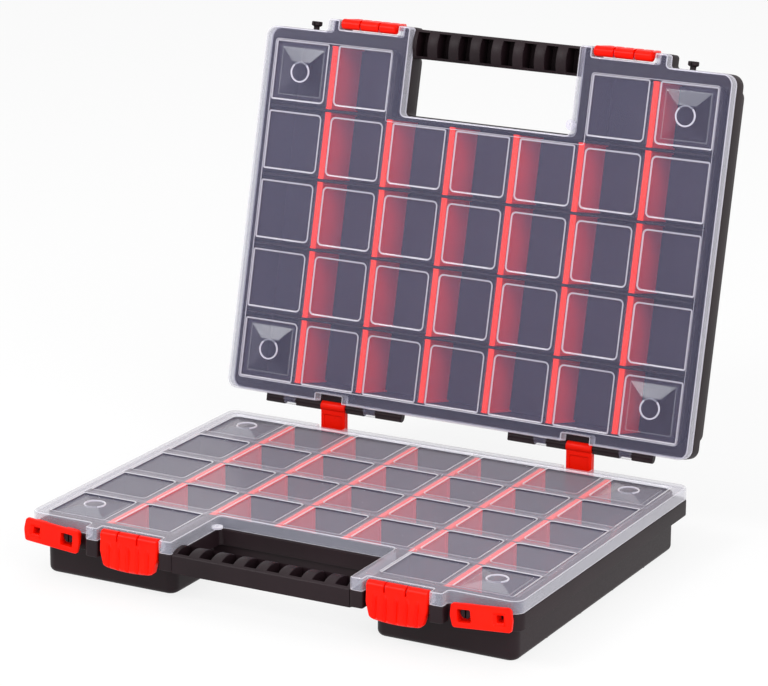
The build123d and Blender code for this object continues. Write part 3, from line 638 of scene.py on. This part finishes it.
# Painted highlight: the rim's foot, its top edge and the field's step take the white edge finish.
skin(lid, swept(lid_rim, foot), EDGE_HIGHLIGHT)
shoulder = TRAY_HEIGHT - LID_EDGE
skin(lid, swept(lid_rim, [foot[-1], (0, shoulder)]), MILKY_AND_GLINT)
skin(lid, swept(lid_rim, arc((-LID_EDGE, shoulder), LID_EDGE, 0, 45, 2)), MILKY_AND_GLINT)
edge = skin(lid, swept(lid_rim, arc((-LID_EDGE, shoulder), LID_EDGE, 45, 90, 2)), EDGE_HIGHLIGHT)
front_left = [(-FIELD_X, -FIELD_Y), (-FIELD_STEP_X, -FIELD_Y), (-FIELD_STEP_X, -FIELD_STEP_Y)]
field = front_left + [(-x, y) for x, y in reversed(front_left)]
field = [(x, y, FIELD_ROUND) for x, y in field + [(FIELD_X, FIELD_Y), (-FIELD_X, FIELD_Y)]]
step = skin(lid, swept(field, [(0.6, TRAY_HEIGHT), (0.2, TRAY_HEIGHT - 0.1), (0, FIELD_Z)]), EDGE_HIGHLIGHT)
cover(lid, [edge[-1], step[0]])
lip = [(0, FIELD_Z), (-0.4, FIELD_Z - 0.04), (-0.9, FIELD_Z - 0.14), (-1.3, FIELD_Z - 0.34)]
drop = [lip[-1], (-1.55, PANE_Z + 0.3), (-1.75, PANE_Z)]
slope = BOSS_TOP - BOSS_HALF
boss_view = [(0, 0.3, PANE_Z), (-BOSS_LINE, 1.2, PANE_Z + 0.3)]
boss_view += [(slope + 0.4, 11.1, BOSS_Z - 0.15), (slope, 11.1, BOSS_Z)]
ring = [(RING_OUT, BOSS_Z - 0.3), (RING_OUT, RING_Z - RING_EDGE), (RING_OUT - RING_EDGE, RING_Z)]
ring += [(RING_IN + RING_EDGE, RING_Z), (RING_IN, RING_Z - RING_EDGE), (RING_IN, BOSS_Z - 0.3)]
pad_view = [(0, PLATE_UNDER), (0, PAD_Z + 0.3), (-0.3, PAD_Z)]
openings, pads = [], []
for column, row in windows:
    x, y = window_middle(column, row)
    # Painted highlight: each window's lip, and below the rings and the eyelet, take the white edge finish.
    openings.append(skin(lid, swept(window_corners(column, row), lip), EDGE_HIGHLIGHT)[0])
    pane = [skin(lid, swept(window_corners(column, row), drop))[-1]]
    if (column, row) in corner_windows:
        boss = [[p.to_tuple() for p in rounded(square(x, y, BOSS_HALF, r), g, z)] for g, r, z in boss_view]
        # Painted highlight: the pyramid's low base band takes the milky finish and shows as a pale square
        # line.
        pane.append(skin(lid, boss[:2], MILKY_AND_GLINT)[0])
        rows = skin(lid, boss[1:])
        cover(lid, [rows[-1]])
        skin(lid, [circle(x, y, r, z) for r, z in ring], EDGE_HIGHLIGHT, closed=True)
    cover(lid, pane, PANE)
    rows = skin(lid, swept(square(x, y, PAD_HALF, PAD_ROUND), pad_view))
    pads.append(rows[0])
    cover(lid, [rows[-1]], PANE)
# Painted reflection: the corner pyramids' front facets, which face the lamp above in the upper tray, take the
# milky finish so they look lit.
pyramids = [window_middle(column, row) for column, row in corner_windows]
for face in lid.faces:
    spot = face.calc_center_median() / MM
    if spot.z > PANE_Z + 0.5 and any(abs(spot.x - x) < y - spot.y < BOSS_HALF for x, y in pyramids):
        face.material_index = MILKY_AND_GLINT
cover(lid, [step[-1]] + openings)
cover(lid, [wall[0]] + pads)
eyelet = [(EYELET_OUT, EYELET_LOW), (EYELET_OUT, EYELET_HIGH)]
eyelet += [(EYELET_IN, EYELET_HIGH), (EYELET_IN, EYELET_LOW)]
skin(lid, [circle(*EYELET, r, z, 24) for r, z in eyelet], EDGE_HIGHLIGHT, closed=True)
axis = (HINGE_Y, HINGE_Z)
mouth = math.degrees(math.asin(HOOK_MOUTH / EYE))
hold = math.degrees(math.asin(HOOK_MOUTH / (ROD + ROD_FIT)))
hook = arc(axis, EYE, mouth - 90, 82, 9) + [(HINGE_Y + 0.4, RIM_Z + HOOK_ARM - 0.4)]
hook += [(HINGE_Y, RIM_Z + HOOK_ARM), (HOOK_BACK, RIM_Z + HOOK_ARM), (HOOK_BACK, RIM_Z)]
hook += arc(axis, EYE, 141, 270 - mouth, 6) + arc(axis, ROD + ROD_FIT, 270 - hold, hold - 90, 14)
for side in (-1, 1):
    for x in (side * HOOK_X[0], side * HOOK_X[1]):
        along_x(lid, hook, [(x - HOOK_HALF, 0), (x + HOOK_HALF, 0)])
rib = arc((BARREL_Y, BARREL_Z), RIB_EYE, 90, 270, 10)
rib += [(RIB_ROOT, BARREL_Z - RIB_EYE), (RIB_ROOT, BARREL_Z + RIB_EYE)]
for middle in (-LATCH_X, LATCH_X):
    for x in (middle - SLIT, middle + SLIT):
        along_x(lid, rib, [(x - LATCH_RIB, 0), (x + LATCH_RIB, 0)])
seat_both("clear_lid", lid, lid_finish, "lid")

# ---------------------------------------------------------------------------
# Latches: glossy orange-red polypropylene flaps, two to a tray. A split barrel turns on a pin
# in the lid, five shallow flutes give the thumb a hold, and the back is hollow.

LATCH_WIDE, LATCH_FOOT, LATCH_LOW, FOOT_Z, WAIST_Z = 24.0, 20.8, 19.5, 21.1, 33.8
SAG, SAG_TALL, BELLY, BELLY_Z, FOOT_ROUND, SIDE_ROUND = 1.6, 12, 1.3, 22.3, 3.0, 1.2
LATCH_BACK, LATCH_FRONT, BARREL, LATCH_SHIFT = -151.5, -156.2, 4.1, 1.0
FLUTES, FLUTE_PITCH, FLUTE_HALF, FLUTE_DEPTH = 5, 8.2, 2.2, 1.6
PIN, PIN_HALF, SLIT_HALF, SLIT_LOW = 1.1, 24.6, 0.8, 41.6
HOLLOW_HALF, HOLLOW_DEEP, HOLLOW_LOW, HOLLOW_HIGH, HOLLOW_ROUND = 18.4, -153.8, 23.5, 39.6, 1.0

latch_red = red_polypropylene("polypropylene_red_gloss", "#FF1000", "#FF1A02", 0.34, 1.2, 0.03)


def latch_front(x, z):
    """Place of the latch's front face, with its belly and flutes."""
    if z > BELLY_Z:
        rise = (z - BELLY_Z) / (BARREL_Z - BELLY_Z)
    else:
        rise = (BELLY_Z - z) / (BELLY_Z - LATCH_LOW)
    y = LATCH_FRONT - BELLY * (0.5 + 0.5 * math.cos(math.pi * min(1.0, rise)))
    for flute in range(FLUTES):
        across = x - (flute - (FLUTES - 1) / 2) * FLUTE_PITCH
        if abs(across) < FLUTE_HALF:
            fade = min(1.0, max(0.0, (BARREL_Z - BARREL - z) / 4), (z - LATCH_LOW) / 3)
            y += FLUTE_DEPTH * fade * (0.5 + 0.5 * math.cos(math.pi * across / FLUTE_HALF))
    return y


def latch_half(z):
    """Half width of the latch: straight above the waist, narrower and round at the foot."""
    half, low = LATCH_WIDE, z - LATCH_LOW
    if z <= WAIST_Z:
        half = LATCH_FOOT + (LATCH_WIDE - LATCH_FOOT) * (z - FOOT_Z) / (WAIST_Z - FOOT_Z)
    if low < FOOT_ROUND:
        half -= FOOT_ROUND - math.sqrt(FOOT_ROUND ** 2 - (FOOT_ROUND - low) ** 2)
    return half


latch = bmesh.new()
heights = [LATCH_LOW + h for h in (0.02, 0.25, 0.7, 1.3, 2.1, FOOT_ROUND)]
straight = heights[-1]
heights += [straight + k * (BARREL_Z - straight) / 22 for k in range(1, 23)]
outlines = []
for z in heights:
    half, low = latch_half(z), z - LATCH_LOW
    round_foot = 1.0 - math.sqrt(1 - (1 - low) ** 2) if low < 1 else 0.0
    fade = max(0.0, 1 - low / SAG_TALL)
    outline = []
    for k in range(81):
        x = half * math.sin((k / 80 - 0.5) * math.pi * 0.5) / math.sin(math.pi * 0.25)
        near = half - abs(x)
        corner = 0.0
        if near < SIDE_ROUND:
            corner = SIDE_ROUND - math.sqrt(max(0.0, SIDE_ROUND ** 2 - (SIDE_ROUND - near) ** 2))
        outline.append((x, latch_front(x, z) + corner + round_foot, z + SAG * (x / LATCH_FOOT) ** 2 * fade))
    for x in (half, half / 2, 0, -half / 2, -half):
        outline.append((x, LATCH_BACK - round_foot, z + SAG * (x / LATCH_FOOT) ** 2 * fade))
    outlines.append(outline)
rows = skin(latch, outlines)
cover(latch, [rows[0]])
cover(latch, [rows[-1]])
barrel = arc((BARREL_Y, BARREL_Z), BARREL, 0, 345, 23)
along_x(latch, barrel, eased(-LATCH_WIDE, LATCH_WIDE, [(0, 0.8), (0.3, 0.3), (0.8, 0)]))
tools = bmesh.new()
for x in (-SLIT - LATCH_SHIFT, SLIT - LATCH_SHIFT):
    block(tools, x - SLIT_HALF, x + SLIT_HALF, -160, -LATCH_NOTCH, SLIT_LOW, 50, 0.1)
block(tools, -HOLLOW_HALF, HOLLOW_HALF, HOLLOW_DEEP, -150, HOLLOW_LOW, HOLLOW_HIGH, HOLLOW_ROUND)
latch = cut_away(latch, tools)
bore(latch, -PIN_HALF, PIN_HALF, BARREL_Y, BARREL_Z, PIN, 20)
for tray, place in (("lower", Matrix.Identity(4)), ("upper", upper_place())):
    for name, way in (("left", -1), ("right", 1)):
        x = way * LATCH_X * (1 if tray == "lower" else -1) + LATCH_SHIFT
        node = f"{tray}_latch_{name}"
        middle = Matrix.Translation((x * MM, 0, 0))
        seat(node + "_flap", latch, [latch_red], node, [node], place @ middle)
latch.free()

# ---------------------------------------------------------------------------
# Tie strips: red polypropylene, one on each lower peg. The inner well turns on the peg, and
# the outer one snaps over the upper tray's peg when the pair is closed.

TIE_TILT, TIE_DROP, SKIRT_FACE = 4.5, 1.2, 144.9
TIE_PLATE, TIE_FACE, TIE_BACK, TIE_FLOOR, TIE_DISH = 7.2, 10.2, 0.3, 3.1, 2.0
TIE_HALF, TIE_IN, TIE_OUT, TIE_REACH, TIE_ROUND, TIE_BOW = 8.75, -10.9, 37.0, 27.0, 2.2, 1.6

tie = bmesh.new()
plan = [(TIE_IN + TIE_BOW, -TIE_HALF, TIE_ROUND), (TIE_OUT - TIE_BOW, -TIE_HALF, TIE_ROUND), (TIE_OUT, 0, 12)]
plan += [(TIE_OUT - TIE_BOW, TIE_HALF, TIE_ROUND), (TIE_IN + TIE_BOW, TIE_HALF, TIE_ROUND), (TIE_IN, 0, 12)]
profile = [(-0.3, TIE_PLATE), (0, TIE_PLATE + 0.3)] + arc((-0.8, TIE_FACE - 0.8), 0.8, 0, 90)
plate = skin(tie, swept(plan, profile))
faces, cups = [], []
# For each well: its middle, half sizes, hole and the hole's corner, floor, and the walls' lean.
wells = [(0, 5.1, 4.7, 2.45, 2.401, TIE_FLOOR, 0, 0.4)]
wells += [(TIE_REACH, 4.4, 4.4, 2.8, 0.6, TIE_FACE - TIE_DISH, 0.9, 1.2)]
for u, half_u, half_v, hole, bend, deep, lean, foot in wells:
    inside = [(u + a * half_u, b * half_v, 1.2) for a, b in ((-1, -1), (1, -1), (1, 1), (-1, 1))]
    sides = [(0.4, TIE_FACE), (0, TIE_FACE - 0.4), (-lean, deep + 0.2), (-foot, deep)]
    well = skin(tie, swept(inside, sides))
    faces.append(well[0])
    rim = [p.to_tuple()[:2] for p in rounded(square(u, 0, hole, bend))]
    throat = skin(tie, [[(a, b, d) for a, b in rim] for d in (deep, TIE_BACK)])
    cover(tie, [well[-1], throat[0]])
    cup = skin(tie, swept(inside, [(1.6, TIE_PLATE), (1.6, TIE_BACK + 0.2), (1.4, TIE_BACK)]))
    cover(tie, [cup[-1], throat[-1]])
    cups.append(cup[0])
cover(tie, [plate[-1]] + faces)
cover(tie, [plate[0]] + cups)
c, s = math.cos(math.radians(TIE_TILT)), math.sin(math.radians(TIE_TILT))
for name, way in (("left", -1), ("right", 1)):
    across, upward, outward = Vector((way * c, 0, s)), Vector((-s, 0, way * c)), Vector((0, -1, 0))
    turn = Matrix((across, upward, outward)).transposed().to_4x4()
    place = Matrix.Translation(Vector((way * PEG_X, -SKIRT_FACE, PEG_Z - TIE_DROP)) * MM) @ turn
    node = f"tie_strip_{name}"
    seat(node + "_moulding", tie, [latch_red], node, [node], place)
tie.free()

# ---------------------------------------------------------------------------
# Link straps: deeper red polypropylene, an eye at each end and a sunk panel between. They
# join the two hinge rods, so the upper tray can fold flat on the lower one.

STRAP_HALF, STRAP_PLATE, STRAP_NECK = 10.7, 2.5, 4.4
PANEL_HALF, PANEL_IN, PANEL_END, PANEL_ROUND = 8.2, 1.5, 6.5, 0.8

strap_red = red_polypropylene("polypropylene_red_strap", "#F01402", "#FA1C08", 0.36, 1.2, 0.05)
upper_z = HINGE_Z + LINK
join_angle = math.degrees(math.acos(STRAP_PLATE / EYE))
view = arc((HINGE_Y, HINGE_Z), EYE, 180 - join_angle, 360 + join_angle, 22)
view += [(HINGE_Y + STRAP_PLATE, HINGE_Z + STRAP_NECK), (HINGE_Y + STRAP_PLATE, upper_z - STRAP_NECK)]
view += arc((HINGE_Y, upper_z), EYE, -join_angle, 180 + join_angle, 22)
view += [(HINGE_Y - STRAP_PLATE, upper_z - STRAP_NECK), (HINGE_Y - STRAP_PLATE, HINGE_Z + STRAP_NECK)]
strap, tools = bmesh.new(), bmesh.new()
along_x(strap, view, eased(-STRAP_HALF, STRAP_HALF, [(0, 0.6), (0.3, 0.2), (0.8, 0)]))
for y0, y1 in ((HINGE_Y - EYE, HINGE_Y - PANEL_IN), (HINGE_Y + PANEL_IN, HINGE_Y + EYE)):
    low, high = HINGE_Z + PANEL_END, upper_z - PANEL_END
    block(tools, -PANEL_HALF, PANEL_HALF, y0, y1, low, high, PANEL_ROUND)
for z in (HINGE_Z, upper_z):
    bore(tools, -12, 12, HINGE_Y, z, ROD + ROD_FIT)
strap = cut_away(strap, tools)
for name, way in (("left", -1), ("right", 1)):
    node, place = f"link_strap_{name}", Matrix.Translation((way * STRAP_X * MM, 0, 0))
    seat(node + "_moulding", strap, [strap_red], "link_straps", [node], place)
strap.free()

# ---------------------------------------------------------------------------
# Floor, light and camera: a white studio sweep under large soft lights. The floor is plain
# pale paper, kept white for the camera and in reflections, and keeps the soft shadow.


def seen(tree):
    """1 where the camera looks, straight, in a reflection or through something clear."""
    path = add(tree, "ShaderNodeLightPath").outputs
    rays = [(0, path["Is Camera Ray"]), (1, path["Is Glossy Ray"])]
    straight = add(tree, "ShaderNodeMath", rays, operation="MAXIMUM").outputs[0]
    rays = [(0, straight), (1, path["Is Transmission Ray"])]
    return add(tree, "ShaderNodeMath", rays, operation="MAXIMUM").outputs[0]


def soft_light(name, place, aim, size, power):
    """A square soft box that looks at one point."""
    lamp = bpy.data.lights.new(name, "AREA")
    lamp.size = size
    lamp.energy = power
    holder = bpy.data.objects.new(name, lamp)
    holder.location = place
    holder.rotation_euler = (Vector(aim) - Vector(place)).to_track_quat("-Z", "Y").to_euler()
    bpy.context.scene.collection.objects.link(holder)


sweep = bmesh.new()
cover(sweep, [[sweep.verts.new((x, y, 0)) for x, y in ((-4, -4), (4, -4), (4, 4), (-4, 4))]])
mesh = bpy.data.meshes.new("studio_floor")
sweep.to_mesh(mesh)
sweep.free()
floor = bpy.data.objects.new("studio_floor", mesh)
bpy.context.scene.collection.objects.link(floor)
paper, tree, shader, place = new_material("paper_white_sweep")
tint = ramp(tree, noise(tree, place, 300.0), ((0.3, "#FAFAFA"), (0.7, "#FDFDFD")))
tree.links.new(tint, shader.inputs["Base Color"])
shader.inputs["Roughness"].default_value = 0.9
shader.inputs["Specular IOR Level"].default_value = 0.1
white = add(tree, "ShaderNodeEmission", [("Strength", 1.0)])
layers = [(0, spread(tree, seen(tree), 0.0, 0.82)), (1, shader.outputs[0]), (2, white.outputs[0])]
blend = add(tree, "ShaderNodeMixShader", layers)
tree.links.new(blend.outputs[0], tree.nodes["Material Output"].inputs["Surface"])
mesh.materials.append(paper)

world = bpy.data.worlds.new("studio")
bpy.context.scene.world = world
world.use_nodes = True
sky = world.node_tree
back = sky.nodes["Background"]
back.inputs["Color"].default_value = (1, 1, 1, 1)
sky.links.new(spread(sky, seen(sky), 0.6, 1.0), back.inputs["Strength"])

soft_light("key_light", (-1.2, -1.75, 1.75), (0, 0.1, 0.1), 0.8, 26.0)
soft_light("top_light", (0.0, 0.5, 2.4), (0, 0.1, 0.1), 2.2, 12.0)
soft_light("right_light", (1.9, -1.2, 1.3), (0, 0.1, 0.15), 1.4, 24.0)

yaw, pitch, roll = math.radians(28.08), math.radians(16.02), math.radians(0.34)
right = Vector((math.cos(yaw), math.sin(yaw), 0))
ahead = Vector((-math.sin(yaw) * math.cos(pitch), math.cos(yaw) * math.cos(pitch), -math.sin(pitch)))
up = right.cross(ahead)
level_right = math.cos(roll) * right + math.sin(roll) * up
level_up = -math.sin(roll) * right + math.cos(roll) * up
lens = bpy.data.cameras.new("camera")
lens.lens = 160.65
lens.sensor_width = 36.0
camera = bpy.data.objects.new("camera", lens)
turn = Matrix((level_right, level_up, -ahead)).transposed()
camera.matrix_world = Matrix.Translation((1.1479, -2.1213, 0.8607)) @ turn.to_4x4()
bpy.context.scene.collection.objects.link(camera)
bpy.context.scene.camera = camera
bpy.context.scene.view_settings.view_transform = "Standard"
